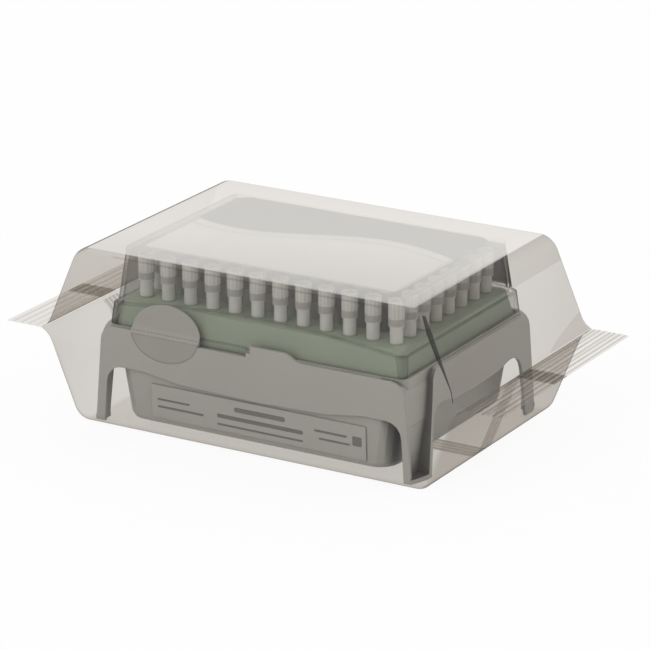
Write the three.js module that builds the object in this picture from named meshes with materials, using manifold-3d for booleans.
// Box of pipette tips: a rack of 96 filter tips in a legged base under a clear lid,
// closed with a seal label and wrapped in a sealed film pack. Millimetres, +Z up.
// Origin: centre of the pack's underside. X runs along the twelve columns of tips,
// Y along the eight rows, with the front of the box at -Y.

import * as THREE from "three";
import Module from "manifold-3d";
import { mergeVertices } from "three/addons/utils/BufferGeometryUtils.js";

const wasm = await Module();
wasm.setup();

// ---------- driving dimensions ----------

const CLEARANCE = 0.3; // between pieces that rest on or in one another

// Tips, on the standard 9 mm grid of a 96-place rack.
const PITCH = 9;
const COLUMNS = 12;
const ROWS = 8;
const TIP_SIDES = 8;
const INNER_TIP_SIDES = 6;
const TIP_NECK_RADIUS = 2.05; // where the tip passes the deck
const TIP_BODY_RADIUS = 2.5; // between the deck and the collar
const TIP_COLLAR_RADIUS = 3.2;
const TIP_SOCKET_RADIUS = 2.6;
const TIP_POINT_RADIUS = 0.45;
const TIP_BODY_LENGTH = 5.9; // deck shoulder to collar
const TIP_COLLAR_LENGTH = 9;
const TIP_BELOW_DECK = 37; // deck shoulder to point
const TIP_FILTER_DEPTH = 8.2; // mouth to the top of the filter plug

// Rack: a deck with holes on a drafted skirt.
const RACK_MARGIN_END = 5.9; // outermost tip axis to the deck's edge
const RACK_MARGIN_SIDE = 6.8;
const RACK_HEIGHT = 18.6;
const RACK_WALL = 1.3;
const RACK_DECK = 1.6;
const RACK_SPREAD_END = 1.5; // how far the skirt spreads from the deck to the base's rim
const RACK_SPREAD_SIDE = 2.3;
const RACK_CORNER = 3;

// Lid: a drafted clear cover with a wider skirt, whose upper edge is a shallow arc.
const LID_GAP = 0.6; // rack to the inside of the lid's skirt
const LID_WALL = 1.2;
const LID_HEADROOM = 1.6; // mouths of the tips to the inside of the lid's top
const LID_TAPER_WIDTH = 3.2; // how much less the top's half width is than the foot's
const LID_TAPER_DEPTH = 5.6;
const LID_CORNER = 3.2;
const LID_SKIRT_STEP = 1; // how far the skirt stands out from the walls above it
const LID_SKIRT_DRAFT = 1.4; // how far the skirt leans in up to its crest
const LID_SKIRT_CREST = 11.4; // skirt height at the middle of the long sides
const LID_SKIRT_END = 7.2; // skirt height at the ends
const LID_TONGUE_FROM = -20.9;
const LID_TONGUE_TO = -2.4;
const LID_TONGUE_DROP = 1.9; // how far the front tongue hangs below the lid's foot

// Base: drafted side plates round a tub, standing on four channel legs.
const BASE_WALL = 1.2;
const BASE_RIM_HEIGHT = 9.9; // shelf that the rack stands on to the top of the side plates
const BASE_RIM_RISE = 0.4; // lid seat above the plates' top edges
const BASE_SEAT_LIP = 0.3; // lid foot to the edge of its seat
const BASE_LEDGE_END = 2.1; // lid foot to the outer face of an end plate
const BASE_LEDGE_SIDE = 1.3; // lid foot to the outer face of a long plate
const BASE_FLARE_END = 4; // spread of an end plate from its top to the feet
const BASE_FLARE_SIDE = 0.3;
const BASE_SHOULDER = 5.2; // radius of the plates' upper corners
const LEG_CUT_SIDE_TOP = 0.6; // end plate's face to a long plate's flange, at the shoulder's foot
const LEG_CUT_SIDE_FOOT = 1.6;
const LEG_CUT_END_TOP = 1.5; // long plate's face to an end plate's flange, at the shoulder's foot
const LEG_CUT_END_FOOT = 4;
const LEG_WIDTH_SIDE = 3.5; // flange of a leg beside the arch of a long plate
const LEG_WIDTH_END = 5.6;

// The front right corner is an open channel, cut further into both plates.
const OPEN_CUT_SIDE_TOP = 1.9;
const OPEN_CUT_SIDE_FOOT = 2.4;
const OPEN_CUT_END_TOP = 16.2;
const OPEN_CUT_END_FOOT = 7.5;
const OPEN_LEG_WIDTH_END = 1.9;
const LEG_POCKET_DROP = 5.7; // shelf to the ledge in the corner channel
const LEG_FOOT = 1.5; // thickness of the foot that closes the channel
const ARCH_DROP_SIDE = 4.3; // shelf to the crown of a long side's arch
const ARCH_DROP_END = 2.5;
const ARCH_RADIUS = 6;
const PLATE_DROP_SIDE = 7.1; // shelf to the lower edge at the middle of a long plate
const PLATE_DROP_END = 4.5;

// Tub in the base, which the tips hang down into.
const TUB_LIFT = 1.8; // feet to the underside of the tub
const TUB_TIP_GAP = 4.3; // tub's floor to the points of the tips
const TUB_MARGIN_END = 3.3; // outermost tip axis to the tub's face, at its underside
const TUB_MARGIN_SIDE = 10.3;
const TUB_SPREAD_END = 3.4; // added to the half width at the shelf
const TUB_SPREAD_SIDE = 1.2;
const TUB_CORNER = 8;
const TUB_EDGE = 2; // radius round the underside
const RIB_WIDTH = 1.4; // of the ribs in the tub that the rack's foot stands on
const RIB_SPACING = 36;
const RIB_REACH = 0.3; // past the inside of the rack's skirt

// Thumb tab on the front plate.
const TAB_FROM = -0.4;
const TAB_TO = 12.9;
const TAB_END = 19.5;
const TAB_RISE = 2.6;

// Hinge at the back: pins on the base, hooks on the lid.
const HINGE_X = 34;
const HINGE_PIN_RADIUS = 1;
const HINGE_PIN_LENGTH = 9;
const HINGE_EAR = 1.6;
const HINGE_EAR_RADIUS = 1.5;
const HINGE_HOOK_WALL = 1;
const HINGE_REACH = 1.8; // lid foot to the pin's axis
const HINGE_RISE = 0.9; // lid foot up to the pin's axis

// Labels.
const LABEL_THICKNESS = 0.2;
const LID_LABEL_MARGIN_END = 4.9; // lid top's edge to the printed panel
const LID_LABEL_MARGIN_SIDE = 2.8;
const LID_LABEL_CORNER = 5;
const SEAL_LABEL_FROM_END = 22.1; // lid's left end to the label's centre
const SEAL_LABEL_WIDTH = 27.5;
const SEAL_LABEL_ABOVE = 9.6; // above the lid's foot
const SEAL_LABEL_BELOW = 10.6;
const PRODUCT_LABEL_LEFT = 12; // tub's left end to the label's edge
const PRODUCT_LABEL_RIGHT = 8.5;
const PRODUCT_LABEL_LOW = 4.5; // feet to the label's lower edge
const PRODUCT_LABEL_HIGH = 16.8;

// Film pack, with flat crimped seals at its ends and a lapped seam underneath.
const FILM_THICKNESS = 0.4;
const FILM_SLACK_SIDE = 2.8; // feet to the inside of the front and back panels
const FILM_SLACK_END = 15.8; // feet to the inside of the pack at its end seals
const FILM_END_SLOPE = 0.43; // how far the end panels lean in for each unit of height
const FILM_CORNER_TOP = 8.5;
const FILM_CORNER_BOTTOM = 5;
const FILM_EDGE = 2.5; // radius of the folds round the front and back panels
const FILM_ROOT = 2.3; // from where the inner faces of the end panels would meet to the flat
const FIN_LENGTH = 14.2;
const FIN_CRIMPS = 4;
const FIN_CRIMP_HEIGHT = 0.5;
const SEAM_Y = -4.8;
const SEAM_WIDTH = 9.6;

const BEYOND = 10; // how far a cutting block passes the faces that it cuts

// ---------- levels and outlines that follow ----------

const footZ = FILM_THICKNESS + CLEARANCE;
const tubLowZ = footZ + TUB_LIFT;
const tipEndZ = tubLowZ + BASE_WALL + TUB_TIP_GAP;
const tipShoulderZ = tipEndZ + TIP_BELOW_DECK;
const tipCollarZ = tipShoulderZ + TIP_BODY_LENGTH;
const tipTopZ = tipCollarZ + TIP_COLLAR_LENGTH;
const deckZ = tipShoulderZ - CLEARANCE;
const rackFootZ = deckZ - RACK_HEIGHT;
const shelfZ = rackFootZ - CLEARANCE;
const plateTopZ = shelfZ + BASE_RIM_HEIGHT;
const baseHeight = plateTopZ - footZ;
const seatZ = plateTopZ + BASE_RIM_RISE;
const lidFootZ = seatZ + CLEARANCE;
const lidTopZ = tipTopZ + LID_HEADROOM + LID_WALL;
const lidHeight = lidTopZ - lidFootZ;
const lidLabelZ = lidTopZ + CLEARANCE;
const filmTopZ = lidLabelZ + LABEL_THICKNESS + CLEARANCE + FILM_THICKNESS;

const gridHalfWidth = (PITCH * (COLUMNS - 1)) / 2;
const gridHalfDepth = (PITCH * (ROWS - 1)) / 2;
const deckHalfWidth = gridHalfWidth + RACK_MARGIN_END;
const deckHalfDepth = gridHalfDepth + RACK_MARGIN_SIDE;
const rackHalfWidth = deckHalfWidth + RACK_SPREAD_END;
const rackHalfDepth = deckHalfDepth + RACK_SPREAD_SIDE;
const lidHalfWidth = rackHalfWidth + LID_GAP + LID_WALL;
const lidHalfDepth = rackHalfDepth + LID_GAP + LID_WALL;
const plateHalfWidth = lidHalfWidth + BASE_LEDGE_END;
const plateHalfDepth = lidHalfDepth + BASE_LEDGE_SIDE;
const footHalfWidth = plateHalfWidth + BASE_FLARE_END;
const footHalfDepth = plateHalfDepth + BASE_FLARE_SIDE;
const shoulderFootZ = plateTopZ - BASE_SHOULDER;
const pocketTopZ = shelfZ - LEG_POCKET_DROP;
const shoulderShare = BASE_SHOULDER / baseHeight;
const shoulderHalfWidth = plateHalfWidth + BASE_FLARE_END * shoulderShare;
const shoulderHalfDepth = plateHalfDepth + BASE_FLARE_SIDE * shoulderShare;
const closedCorner = {
  sideTop: shoulderHalfWidth - LEG_CUT_SIDE_TOP,
  sideFoot: footHalfWidth - LEG_CUT_SIDE_FOOT,
  endTop: shoulderHalfDepth - LEG_CUT_END_TOP,
  endFoot: footHalfDepth - LEG_CUT_END_FOOT,
};
const openCorner = {
  sideTop: shoulderHalfWidth - OPEN_CUT_SIDE_TOP,
  sideFoot: footHalfWidth - OPEN_CUT_SIDE_FOOT,
  endTop: shoulderHalfDepth - OPEN_CUT_END_TOP,
  endFoot: footHalfDepth - OPEN_CUT_END_FOOT,
};
const tubHalfWidth = gridHalfWidth + TUB_MARGIN_END;
const tubHalfDepth = gridHalfDepth + TUB_MARGIN_SIDE;
const filmHalfDepth = footHalfDepth + FILM_SLACK_SIDE + FILM_THICKNESS;
const filmHalfWidth = footHalfWidth + FILM_SLACK_END + FILM_THICKNESS;
const finRootX = filmHalfWidth + FILM_ROOT;
const finTipX = finRootX + FIN_LENGTH;

// ---------- solids ----------

function solidOf(geometry) {
  const bare = geometry.clone();
  bare.deleteAttribute("normal");
  bare.deleteAttribute("uv");
  const merged = mergeVertices(bare, 1e-4);
  const vertProperties = new Float32Array(merged.getAttribute("position").array);
  const triVerts = new Uint32Array(merged.getIndex().array);
  return new wasm.Manifold(new wasm.Mesh({ numProp: 3, vertProperties, triVerts }));
}

function meshOf(name, solid, material) {
  const { vertProperties, triVerts } = solid.getMesh();
  const geometry = new THREE.BufferGeometry();
  geometry.setAttribute("position", new THREE.BufferAttribute(vertProperties, 3));
  geometry.setIndex(new THREE.BufferAttribute(triVerts, 1));
  geometry.computeVertexNormals();
  const mesh = new THREE.Mesh(geometry, material);
  mesh.name = name;
  return mesh;
}

function union(solids) {
  return solids.reduce((sum, solid) => sum.add(solid));
}

// A block between two opposite corners.
function block(low, high) {
  const size = high.map((value, axis) => value - low[axis]);
  const centre = high.map((value, axis) => (value + low[axis]) / 2);
  return solidOf(new THREE.BoxGeometry(...size).translate(...centre));
}

const ALONG_Y = new THREE.Matrix4().makeBasis(
  new THREE.Vector3(1, 0, 0), new THREE.Vector3(0, 0, 1), new THREE.Vector3(0, -1, 0));
const ALONG_X = new THREE.Matrix4().makeBasis(
  new THREE.Vector3(0, 1, 0), new THREE.Vector3(0, 0, 1), new THREE.Vector3(1, 0, 0));

// Extrudes an outline of (x, z) points from y0 to y1.
function extrudeAlongY(points, y0, y1) {
  const shape = new THREE.Shape(points);
  const geometry = new THREE.ExtrudeGeometry(shape, { depth: y1 - y0, bevelEnabled: false });
  return solidOf(geometry.applyMatrix4(ALONG_Y).translate(0, y1, 0));
}

// Extrudes an outline of (y, z) points from x0 to x1.
function extrudeAlongX(points, x0, x1) {
  const shape = new THREE.Shape(points);
  const geometry = new THREE.ExtrudeGeometry(shape, { depth: x1 - x0, bevelEnabled: false });
  return solidOf(geometry.applyMatrix4(ALONG_X).translate(x0, 0, 0));
}

// The outline through the given corners, each [x, y, radius], with arcs at the corners.
function roundedOutline(corners, segments) {
  const points = [];
  corners.forEach(([x, y, radius], index) => {
    const corner = new THREE.Vector2(x, y);
    if (!(radius > 0)) {
      points.push(corner);
      return;
    }
    const before = corners[(index + corners.length - 1) % corners.length];
    const after = corners[(index + 1) % corners.length];
    const back = new THREE.Vector2(before[0] - x, before[1] - y).normalize();
    const on = new THREE.Vector2(after[0] - x, after[1] - y).normalize();
    const halfAngle = Math.acos(back.dot(on)) / 2;
    const centre = corner.clone().addScaledVector(
      back.clone().add(on).normalize(), radius / Math.sin(halfAngle));
    const start = corner.clone().addScaledVector(back, radius / Math.tan(halfAngle)).sub(centre);
    const turn = (Math.PI - 2 * halfAngle) * Math.sign(on.cross(back));
    for (let step = 0; step <= segments; step++) {
      const origin = new THREE.Vector2();
      points.push(start.clone().rotateAround(origin, (turn * step) / segments).add(centre));
    }
  });
  return points;
}

function roundedRectangle(halfWidth, halfDepth, radius, segments = 5) {
  return roundedOutline([
    [halfWidth, -halfDepth, radius],
    [halfWidth, halfDepth, radius],
    [-halfWidth, halfDepth, radius],
    [-halfWidth, -halfDepth, radius],
  ], segments);
}

// A closed solid skinned over rings of points that face the way they are stacked.
function skinned(rings, outline) {
  const count = outline.length;
  const top = (rings.length - 1) * count;
  const index = [];
  for (let start = 0; start < top; start += count) {
    for (let i = 0; i < count; i++) {
      const a = start + i;
      const b = start + ((i + 1) % count);
      index.push(a, b, b + count, a, b + count, a + count);
    }
  }
  for (const [a, b, c] of THREE.ShapeUtils.triangulateShape(outline, [])) {
    index.push(a, c, b);
    index.push(top + a, top + b, top + c);
  }
  const geometry = new THREE.BufferGeometry();
  geometry.setAttribute("position", new THREE.Float32BufferAttribute(rings.flat(2), 3));
  geometry.setIndex(index);
  return solidOf(geometry);
}

// A closed solid through rounded rectangles at rising heights.
function loft(levels, segments = 5) {
  const outlines = levels.map(({ halfWidth, halfDepth, radius }) =>
    roundedRectangle(halfWidth, halfDepth, radius, segments));
  const rings = outlines.map((outline, level) => outline.map((p) => [p.x, p.y, levels[level].z]));
  return skinned(rings, outlines[0]);
}

// A turned solid from (radius, z) points that start and end on the axis, lower end first.
function turned(profile, sides) {
  const points = profile.map(([radius, z]) => new THREE.Vector2(radius, z));
  return solidOf(new THREE.LatheGeometry(points, sides).rotateX(Math.PI / 2));
}

// ---------- tips ----------

// A tip whose shoulder is at the given height.
function tipSolid(shoulderZ, sides, pointRadius) {
  const end = pointRadius > 0 ? [[pointRadius, tipEndZ]] : [];
  return turned([
    [0, tipEndZ],
    ...end,
    [TIP_NECK_RADIUS, shoulderZ],
    [TIP_BODY_RADIUS, shoulderZ],
    [TIP_BODY_RADIUS, tipCollarZ],
    [TIP_COLLAR_RADIUS, tipCollarZ],
    [TIP_COLLAR_RADIUS, tipTopZ],
    [TIP_SOCKET_RADIUS, tipTopZ],
    [0, tipTopZ - TIP_FILTER_DEPTH],
  ], sides);
}

function gridPlaces() {
  const places = [];
  for (let row = 0; row < ROWS; row++) {
    for (let column = 0; column < COLUMNS; column++) {
      const onEdge = row === 0 || row === ROWS - 1 || column === 0 || column === COLUMNS - 1;
      const letter = String.fromCharCode("a".charCodeAt(0) + row);
      places.push({
        name: `tip_${letter}${String(column + 1).padStart(2, "0")}`,
        x: PITCH * column - gridHalfWidth,
        y: gridHalfDepth - PITCH * row,
        onEdge,
      });
    }
  }
  return places;
}

// ---------- rack ----------

function rack(places) {
  const skirt = (z, wall) => ({
    z,
    halfWidth: rackHalfWidth - wall,
    halfDepth: rackHalfDepth - wall,
    radius: RACK_CORNER - wall,
  });
  const deck = (z, wall) => ({
    z,
    halfWidth: deckHalfWidth - wall,
    halfDepth: deckHalfDepth - wall,
    radius: RACK_CORNER - wall,
  });
  const outside = loft([skirt(rackFootZ, 0), skirt(seatZ, 0), deck(deckZ, 0)]);
  const inside = loft([
    skirt(rackFootZ - 1, RACK_WALL),
    skirt(seatZ - 0.4, RACK_WALL),
    deck(deckZ - RACK_DECK, RACK_WALL),
  ]);
  const holeRadius = TIP_NECK_RADIUS + CLEARANCE;
  const hole = turned([
    [0, deckZ - RACK_DECK - 1],
    [holeRadius, deckZ - RACK_DECK - 1],
    [holeRadius, deckZ + 1],
    [0, deckZ + 1],
  ], TIP_SIDES);
  const fusedTip = tipSolid(deckZ - CLEARANCE, INNER_TIP_SIDES, 0);
  let body = outside.subtract(inside);
  body = body.subtract(union(
    places.filter((place) => place.onEdge).map((place) => hole.translate([place.x, place.y, 0]))));
  return body.add(union(
    places.filter((place) => !place.onEdge)
      .map((place) => fusedTip.translate([place.x, place.y, 0]))));
}

// ---------- lid ----------

// The space inside the lid's outer faces, moved in by the given wall.
function lidForm(wall, footDrop) {
  const walls = (rise) => {
    const share = (rise - lidFootZ) / lidHeight;
    return {
      halfWidth: lidHalfWidth - LID_SKIRT_STEP - (LID_TAPER_WIDTH - LID_SKIRT_STEP) * share - wall,
      halfDepth: lidHalfDepth - LID_SKIRT_STEP - (LID_TAPER_DEPTH - LID_SKIRT_STEP) * share - wall,
      radius: LID_CORNER - wall,
    };
  };
  const upper = loft([
    { z: lidFootZ - footDrop, ...walls(lidFootZ) },
    { z: lidTopZ - wall, ...walls(lidTopZ) },
  ]);
  const skirt = loft([
    {
      z: lidFootZ - footDrop,
      halfWidth: lidHalfWidth - wall,
      halfDepth: lidHalfDepth - wall,
      radius: LID_CORNER - wall,
    },
    {
      z: lidFootZ + LID_SKIRT_CREST + 1,
      halfWidth: lidHalfWidth - LID_SKIRT_DRAFT - wall,
      halfDepth: lidHalfDepth - LID_SKIRT_DRAFT - wall,
      radius: LID_CORNER - wall,
    },
  ]);
  return upper.add(skirt.intersect(underSkirtArc(wall)));
}

// Everything below the arched upper edge of the lid's skirt.
function underSkirtArc(wall) {
  const segments = 14;
  const points = [];
  for (let step = 0; step <= segments; step++) {
    const along = (2 * step) / segments - 1;
    const rise = LID_SKIRT_END + (LID_SKIRT_CREST - LID_SKIRT_END) * Math.cos((along * Math.PI) / 2);
    points.push(new THREE.Vector2(lidHalfWidth * along, lidFootZ + rise - wall));
  }
  points.push(new THREE.Vector2(lidHalfWidth, lidFootZ - 5));
  points.push(new THREE.Vector2(-lidHalfWidth, lidFootZ - 5));
  return extrudeAlongY(points.reverse(), -lidHalfDepth - 1, lidHalfDepth + 1);
}

const hingeY = lidHalfDepth + HINGE_REACH;
const hingeZ = lidFootZ + HINGE_RISE;

function turnedAlongX(radius, length, x, y, z, sides = 10) {
  const geometry = new THREE.CylinderGeometry(radius, radius, length, sides);
  return solidOf(geometry.rotateZ(Math.PI / 2).translate(x, y, z));
}

// A hook at the lid's back foot that clips over a hinge pin from above.
function lidHook(x) {
  const length = HINGE_PIN_LENGTH - 2 * HINGE_EAR - 2 * CLEARANCE;
  const outer = HINGE_PIN_RADIUS + CLEARANCE + HINGE_HOOK_WALL;
  const eye = turnedAlongX(outer, length, x, hingeY, hingeZ);
  const arm = block(
    [x - length / 2, lidHalfDepth - LID_WALL / 2, hingeZ],
    [x + length / 2, hingeY, hingeZ + outer * 0.95]);
  const bore = turnedAlongX(HINGE_PIN_RADIUS + CLEARANCE, length + 1, x, hingeY, hingeZ);
  const mouth = block(
    [x - length, hingeY - HINGE_PIN_RADIUS * 0.8, hingeZ - outer - 1],
    [x + length, hingeY + HINGE_PIN_RADIUS * 0.8, hingeZ]);
  return eye.add(arm).subtract(bore).subtract(mouth);
}

function lid() {
  const shell = lidForm(0, 0).subtract(lidForm(LID_WALL, 1));
  const tongue = block(
    [LID_TONGUE_FROM, -lidHalfDepth - CLEARANCE, lidFootZ - LID_TONGUE_DROP],
    [LID_TONGUE_TO, -lidHalfDepth + LID_WALL - CLEARANCE, lidFootZ + 1]);
  return union([shell, tongue, lidHook(-HINGE_X), lidHook(HINGE_X)]);
}

// ---------- base ----------

function plateBlock(wall) {
  const low = footZ - (wall > 0 ? 1 : 0);
  const high = plateTopZ - wall;
  const level = (z) => {
    const drop = (plateTopZ - z) / baseHeight;
    return {
      z,
      halfWidth: plateHalfWidth + BASE_FLARE_END * drop - wall,
      halfDepth: plateHalfDepth + BASE_FLARE_SIDE * drop - wall,
      radius: 0.4,
    };
  };
  return loft([level(low), level(high)], 1);
}

// The region beyond the flange edge of a plate: outline of (across, z) points.
function beyondFlange(top, foot, grow) {
  const reach = footHalfWidth + BEYOND;
  const points = [
    [foot - grow, footZ - 2],
    [reach, footZ - 2],
    [reach, plateTopZ + 3],
    [top - BASE_SHOULDER - grow, plateTopZ + 3],
    [top - BASE_SHOULDER - grow, plateTopZ + 0.01],
  ];
  const steps = 4;
  for (let step = 1; step <= steps; step++) {
    const angle = (step / steps) * (Math.PI / 2);
    points.push([
      top - grow - BASE_SHOULDER * (1 - Math.sin(angle)),
      shoulderFootZ + BASE_SHOULDER * Math.cos(angle),
    ]);
  }
  return points.map(([across, z]) => new THREE.Vector2(across, z));
}

// The channel that is cut down the corner at +X +Y, between the flanges of two plates.
function cornerChannel(corner, grow) {
  const beyondSide = extrudeAlongY(
    beyondFlange(corner.sideTop, corner.sideFoot, grow), 0, footHalfDepth + 5);
  const beyondEnd = extrudeAlongX(
    beyondFlange(corner.endTop, corner.endFoot, grow), 0, footHalfWidth + 5);
  const open = beyondSide.intersect(beyondEnd);
  const pocket = block(
    [corner.sideTop + 0.8 - grow, 0, footZ - 3],
    [footHalfWidth + 6, footHalfDepth - BASE_WALL + grow, pocketTopZ]).intersect(beyondEnd);
  const foot = block([0, 0, footZ - 3], [footHalfWidth + 6, footHalfDepth + 6, footZ + LEG_FOOT]);
  const footCorner = extrudeAlongZ([
    [corner.sideFoot, footHalfDepth + 3],
    [corner.sideFoot, footHalfDepth],
    [footHalfWidth, corner.endFoot],
    [footHalfWidth + 3, corner.endFoot],
    [footHalfWidth + 3, footHalfDepth + 3],
  ].reverse(), footZ - 3, footZ + LEG_FOOT);
  const cut = open.add(pocket);
  return grow > 0 ? cut : cut.subtract(foot).add(footCorner);
}

// The channels of all four corners: three closed ones, and the open one at +X -Y.
function cornerChannels(grow) {
  const closed = cornerChannel(closedCorner, grow);
  const left = closed.mirror([1, 0, 0]);
  return union([
    closed,
    left,
    left.mirror([0, 1, 0]),
    cornerChannel(openCorner, grow).mirror([0, 1, 0]),
  ]);
}

function extrudeAlongZ(points, z0, z1) {
  const shape = new THREE.Shape(points.map(([x, y]) => new THREE.Vector2(x, y)));
  const geometry = new THREE.ExtrudeGeometry(shape, { depth: z1 - z0, bevelEnabled: false });
  return solidOf(geometry.translate(0, 0, z0));
}

function lidSeatBlock(wall) {
  return loft([
    {
      z: pocketTopZ - (wall > 0 ? 1 : 0),
      halfWidth: lidHalfWidth + BASE_SEAT_LIP - wall,
      halfDepth: lidHalfDepth + BASE_SEAT_LIP - wall,
      radius: LID_CORNER - wall,
    },
    {
      z: seatZ + (wall > 0 ? 1 : 0),
      halfWidth: lidHalfWidth + BASE_SEAT_LIP - wall,
      halfDepth: lidHalfDepth + BASE_SEAT_LIP - wall,
      radius: LID_CORNER - wall,
    },
  ]);
}

function tub(wall) {
  const level = (z, inset) => {
    const share = (z - tubLowZ) / (shelfZ - tubLowZ);
    return {
      z,
      halfWidth: tubHalfWidth + TUB_SPREAD_END * share - wall - inset,
      halfDepth: tubHalfDepth + TUB_SPREAD_SIDE * share - wall - inset,
      radius: TUB_CORNER - wall - inset,
    };
  };
  const floorZ = tubLowZ + wall;
  const edge = TUB_EDGE;
  return loft([
    level(floorZ, edge),
    level(floorZ + edge * 0.3, edge * 0.3),
    level(floorZ + edge, 0),
    level(shelfZ + 1, 0),
  ]);
}

// The jamb of an arch, where the flange of a leg is the given width.
function jamb(top, foot, width, crownZ) {
  const lean = (foot - top) / (shoulderFootZ - footZ);
  return { top: foot - lean * (crownZ - footZ) - width, foot: foot - width };
}

// The opening under a plate: an arch beside each leg, joined by the plate's lower edge.
function underPlate(low, high, crownZ, lowZ) {
  const half = ({ top, foot }) => [
    [foot, footZ - 2, 0],
    [top, crownZ, ARCH_RADIUS],
    [top * 0.75, crownZ, 0],
    [top * 0.5, lowZ + (crownZ - lowZ) * 0.25, 0],
  ];
  const mirrored = half(low).reverse().map(([across, z, radius]) => [-across, z, radius]);
  return roundedOutline([...half(high), [0, lowZ, 0], ...mirrored], 4);
}

// Upright ribs on the tub's long walls, whose tops carry the foot of the rack's skirt.
function rackRibs() {
  const half = RIB_WIDTH / 2;
  const innerY = rackHalfDepth - RACK_WALL - RIB_REACH;
  const rib = (x) => block([x - half, innerY, footZ], [x + half, footHalfDepth, shelfZ + 2]);
  const ribs = union([-RIB_SPACING, 0, RIB_SPACING].map(rib));
  return ribs.add(ribs.mirror([0, 1, 0])).intersect(tub(BASE_WALL / 2));
}

function hingeMount(x) {
  const reach = HINGE_PIN_LENGTH / 2;
  const ear = (earX) => {
    const eye = turnedAlongX(HINGE_EAR_RADIUS, HINGE_EAR, earX, hingeY, hingeZ);
    const stem = block(
      [earX - HINGE_EAR / 2, plateHalfDepth - BASE_WALL / 2, plateTopZ - 4],
      [earX + HINGE_EAR / 2, hingeY + HINGE_EAR_RADIUS * 0.8, hingeZ]);
    return eye.add(stem);
  };
  const pin = turnedAlongX(HINGE_PIN_RADIUS, HINGE_PIN_LENGTH - HINGE_EAR, x, hingeY, hingeZ);
  return union([ear(x - reach + HINGE_EAR / 2), ear(x + reach - HINGE_EAR / 2), pin]);
}

// A raised tab on the front plate's top edge, falling away in an S at its right end.
function thumbTab() {
  const outline = [[TAB_FROM, plateTopZ - 2], [TAB_END + 3, plateTopZ - 2]];
  const steps = 6;
  for (let step = 0; step <= steps; step++) {
    const share = step / steps;
    const x = TAB_END + (TAB_TO - TAB_END) * share;
    outline.push([x, plateTopZ + (TAB_RISE * (1 - Math.cos(Math.PI * share))) / 2]);
  }
  outline.push([TAB_FROM, plateTopZ + TAB_RISE]);
  const points = outline.map(([x, z]) => new THREE.Vector2(x, z));
  const inner = lidHalfDepth + CLEARANCE;
  return extrudeAlongY(points, -plateHalfDepth, -inner);
}

function base() {
  const outside = plateBlock(0).subtract(cornerChannels(0)).add(lidSeatBlock(0));
  const hollow = plateBlock(BASE_WALL)
    .subtract(cornerChannels(BASE_WALL))
    .add(lidSeatBlock(BASE_WALL));
  const wide = footHalfWidth + BEYOND;
  const aboveShelf = block([-wide, -wide, shelfZ], [wide, wide, seatZ + 5]);
  const belowShelf = block([-wide, -wide, footZ - 5], [wide, wide, shelfZ - BASE_WALL]);
  const sideCrownZ = shelfZ - ARCH_DROP_SIDE;
  const endCrownZ = shelfZ - ARCH_DROP_END;
  const side = jamb(closedCorner.sideTop, closedCorner.sideFoot, LEG_WIDTH_SIDE, sideCrownZ);
  const end = jamb(closedCorner.endFoot, closedCorner.endFoot, LEG_WIDTH_END, endCrownZ);
  const open = jamb(openCorner.endTop, openCorner.endFoot, OPEN_LEG_WIDTH_END, endCrownZ);
  const sideArches = extrudeAlongY(
    underPlate(side, side, sideCrownZ, shelfZ - PLATE_DROP_SIDE),
    -footHalfDepth - 3, footHalfDepth + 3);
  const leftArch = extrudeAlongX(
    underPlate(end, end, endCrownZ, shelfZ - PLATE_DROP_END), -footHalfWidth - 3, 0);
  const rightArch = extrudeAlongX(
    underPlate(open, end, endCrownZ, shelfZ - PLATE_DROP_END), 0, footHalfWidth + 3);
  const tongueRoom = block(
    [LID_TONGUE_FROM - CLEARANCE, -plateHalfDepth - 1, lidFootZ - LID_TONGUE_DROP - CLEARANCE],
    [LID_TONGUE_TO + CLEARANCE, -lidHalfDepth + LID_WALL, seatZ + 1]);
  const hookRoom = (x) => block(
    [x - HINGE_PIN_LENGTH / 2, plateHalfDepth - 3, hingeZ - 3.4],
    [x + HINGE_PIN_LENGTH / 2, plateHalfDepth + 3, seatZ + 3]);
  const shell = outside
    .subtract(hollow.intersect(belowShelf))
    .subtract(sideArches)
    .subtract(leftArch)
    .subtract(rightArch);
  return union([shell, tub(0), thumbTab()])
    .subtract(tub(BASE_WALL))
    .add(rackRibs())
    .subtract(hollow.intersect(aboveShelf))
    .subtract(tongueRoom)
    .subtract(hookRoom(-HINGE_X))
    .subtract(hookRoom(HINGE_X))
    .add(hingeMount(-HINGE_X))
    .add(hingeMount(HINGE_X));
}

// ---------- labels ----------

function lidLabel() {
  const outline = roundedRectangle(
    lidHalfWidth - LID_TAPER_WIDTH - LID_LABEL_MARGIN_END,
    lidHalfDepth - LID_TAPER_DEPTH - LID_LABEL_MARGIN_SIDE,
    LID_LABEL_CORNER);
  return extrudeAlongZ(outline.map((p) => [p.x, p.y]), lidLabelZ, lidLabelZ + LABEL_THICKNESS);
}

// A sheet of label stock whose section runs through (y, z) points, from the top down.
function bentSheet(path, x0, x1) {
  const outer = path.map(([y, z]) => new THREE.Vector2(y - LABEL_THICKNESS, z));
  const inner = path.map(([y, z]) => new THREE.Vector2(y, z));
  return extrudeAlongX([...outer, ...inner.reverse()], x0, x1);
}

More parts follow.
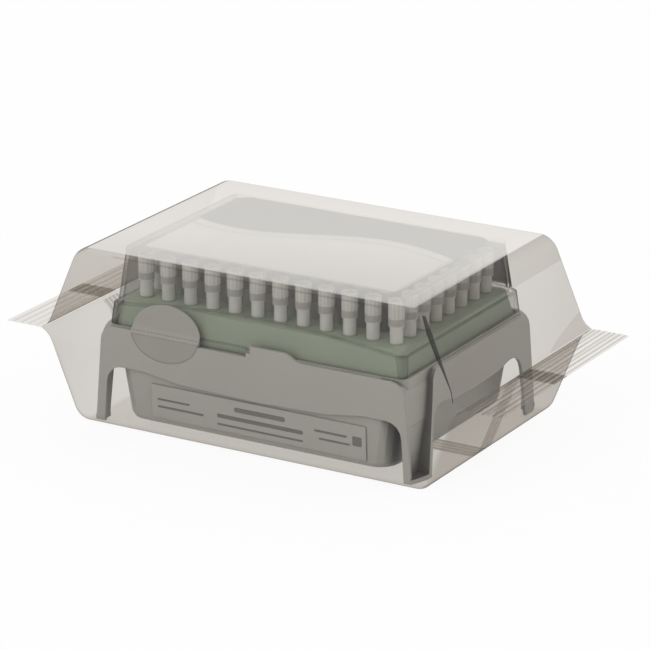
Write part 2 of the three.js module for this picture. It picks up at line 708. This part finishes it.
function sealLabel() {
  const lidFace = -lidHalfDepth - 2 * CLEARANCE;
  const plateFace = -plateHalfDepth - CLEARANCE;
  const topZ = lidFootZ + SEAL_LABEL_ABOVE;
  const lowZ = lidFootZ - SEAL_LABEL_BELOW;
  const spread = (BASE_FLARE_SIDE * (plateTopZ - lowZ)) / baseHeight;
  const halfWidth = SEAL_LABEL_WIDTH / 2;
  const centreX = SEAL_LABEL_FROM_END - lidHalfWidth;
  const sheet = bentSheet([
    [lidFace + LID_SKIRT_STEP / 3, topZ],
    [lidFace, lidFootZ + 1],
    [plateFace, plateTopZ - 0.4],
    [plateFace - spread, lowZ],
  ], centreX - halfWidth - 1, centreX + halfWidth + 1);
  const ellipse = new THREE.EllipseCurve(
    centreX, (topZ + lowZ) / 2, halfWidth, (topZ - lowZ) / 2, 0, 2 * Math.PI);
  const outline = ellipse.getPoints(28).slice(0, -1);
  return sheet.intersect(extrudeAlongY(outline, -footHalfDepth - 3, -rackHalfDepth));
}

function productLabel() {
  const faceY = (z) => {
    const share = (z - tubLowZ) / (shelfZ - tubLowZ);
    return -tubHalfDepth - TUB_SPREAD_SIDE * share - CLEARANCE;
  };
  const low = footZ + PRODUCT_LABEL_LOW;
  const high = footZ + PRODUCT_LABEL_HIGH;
  return bentSheet(
    [[faceY(high), high], [faceY(low), low]],
    PRODUCT_LABEL_LEFT - tubHalfWidth, tubHalfWidth - PRODUCT_LABEL_RIGHT);
}

// ---------- film pack ----------

const filmMidZ = filmTopZ / 2;

// One half of the crimped end seal, from the end panel to the seal's edge.
function sealEdge(side) {
  const flat = filmMidZ + side * FILM_THICKNESS;
  const points = [
    [filmHalfWidth - FILM_END_SLOPE * 4.2, filmMidZ + side * 4.2],
    [filmHalfWidth - FILM_END_SLOPE * 2.2 + 0.4, filmMidZ + side * 2.2],
    [finRootX - 1.1, filmMidZ + side * 0.9],
    [finRootX, flat],
  ];
  const pitch = (FIN_LENGTH - 2) / FIN_CRIMPS;
  for (let crimp = 0; crimp < FIN_CRIMPS; crimp++) {
    const x = finRootX + 1.2 + crimp * pitch;
    points.push([x, flat], [x + pitch / 2, flat + FIN_CRIMP_HEIGHT]);
  }
  points.push([finTipX - 0.8, flat], [finTipX, flat]);
  return points;
}

// The pack's outline in X and Z, moved in by inset; the outer one has the end seals.
function filmOutline(inset) {
  const shift = inset * Math.hypot(1, FILM_END_SLOPE);
  const cornerX = filmHalfWidth - FILM_END_SLOPE * (filmTopZ - inset - filmMidZ) - shift;
  const tip = inset > 0
    ? [[filmHalfWidth - shift, filmMidZ]]
    : [...sealEdge(-1), ...sealEdge(1).reverse()];
  const right = tip.map(([x, z]) => [x, z, 0]);
  const left = tip.map(([x, z]) => [-x, z, 0]).reverse();
  return roundedOutline([
    ...right,
    [cornerX, filmTopZ - inset, FILM_CORNER_TOP - inset],
    [-cornerX, filmTopZ - inset, FILM_CORNER_TOP - inset],
    ...left,
    [-cornerX, inset, FILM_CORNER_BOTTOM - inset],
    [cornerX, inset, FILM_CORNER_BOTTOM - inset],
  ], 5);
}

// The space inside the pack's outline, with folds round its long panels that fade out
// towards the end seals.
function filmForm(inset) {
  const outline = filmOutline(inset);
  const halfHeight = filmMidZ - inset;
  const radius = FILM_EDGE - inset;
  const steps = 2;
  const rings = [];
  for (let step = 0; step <= steps; step++) {
    const angle = (Math.PI / 2) * (1 - step / steps);
    const y = filmHalfDepth - inset - radius * (1 - Math.sin(angle));
    const scale = 1 - (radius * (1 - Math.cos(angle))) / halfHeight;
    rings.push(outline.map((p) => [p.x, y, filmMidZ + (p.y - filmMidZ) * scale]));
  }
  const front = rings.map((ring) => ring.map(([x, y, z]) => [x, -y, z])).reverse();
  return skinned([...rings, ...front], outline);
}

function filmWrap() {
  const ply = FILM_THICKNESS;
  const gap = CLEARANCE;
  const seamFront = SEAM_Y - SEAM_WIDTH / 2;
  const seamBack = SEAM_Y + SEAM_WIDTH / 2;
  const topZ = filmMidZ - 5;
  const strip = (y0, y1, z1) => block([-finTipX, y0, -1], [finTipX, y1, z1]);
  const innerPly = strip(seamFront, seamBack + ply, topZ).subtract(filmForm(2 * ply + gap));
  const betweenPlies = filmForm(ply + gap * 0.1)
    .intersect(strip(seamFront - 1, seamBack - gap / 2, topZ - 1));
  const freeEdge = strip(seamBack - gap, seamBack, topZ - 1);
  const slot = betweenPlies.add(freeEdge).subtract(filmForm(ply + gap));
  return filmForm(0).subtract(filmForm(ply).subtract(innerPly)).subtract(slot);
}

// ---------- the part ----------

const colours = {
  film: new THREE.MeshStandardMaterial({
    color: 0xdedad2, roughness: 0.25, metalness: 0, transparent: true, opacity: 0.3,
  }),
  lid: new THREE.MeshStandardMaterial({
    color: 0xb9bbb6, roughness: 0.2, metalness: 0, transparent: true, opacity: 0.4,
  }),
  base: new THREE.MeshStandardMaterial({ color: 0xb2afa8, roughness: 0.5, metalness: 0 }),
  rack: new THREE.MeshStandardMaterial({ color: 0x8fa184, roughness: 0.45, metalness: 0 }),
  tip: new THREE.MeshStandardMaterial({ color: 0xd4d2cc, roughness: 0.35, metalness: 0 }),
  label: new THREE.MeshStandardMaterial({ color: 0xd8d5ce, roughness: 0.6, metalness: 0 }),
  panel: new THREE.MeshStandardMaterial({ color: 0x4a4b48, roughness: 0.5, metalness: 0 }),
};

const group = new THREE.Group();
const places = gridPlaces();
group.add(meshOf("film_wrap", filmWrap(), colours.film));
group.add(meshOf("base", base(), colours.base));
group.add(meshOf("lid", lid(), colours.lid));
group.add(meshOf("rack", rack(places), colours.rack));
group.add(meshOf("lid_label", lidLabel(), colours.panel));
group.add(meshOf("seal_label", sealLabel(), colours.label));
group.add(meshOf("product_label", productLabel(), colours.label));

const looseTip = tipSolid(tipShoulderZ, TIP_SIDES, TIP_POINT_RADIUS);
for (const place of places.filter((each) => each.onEdge)) {
  const tip = meshOf(place.name, looseTip, colours.tip);
  tip.position.set(place.x, place.y, 0);
  group.add(tip);
}

export default group;
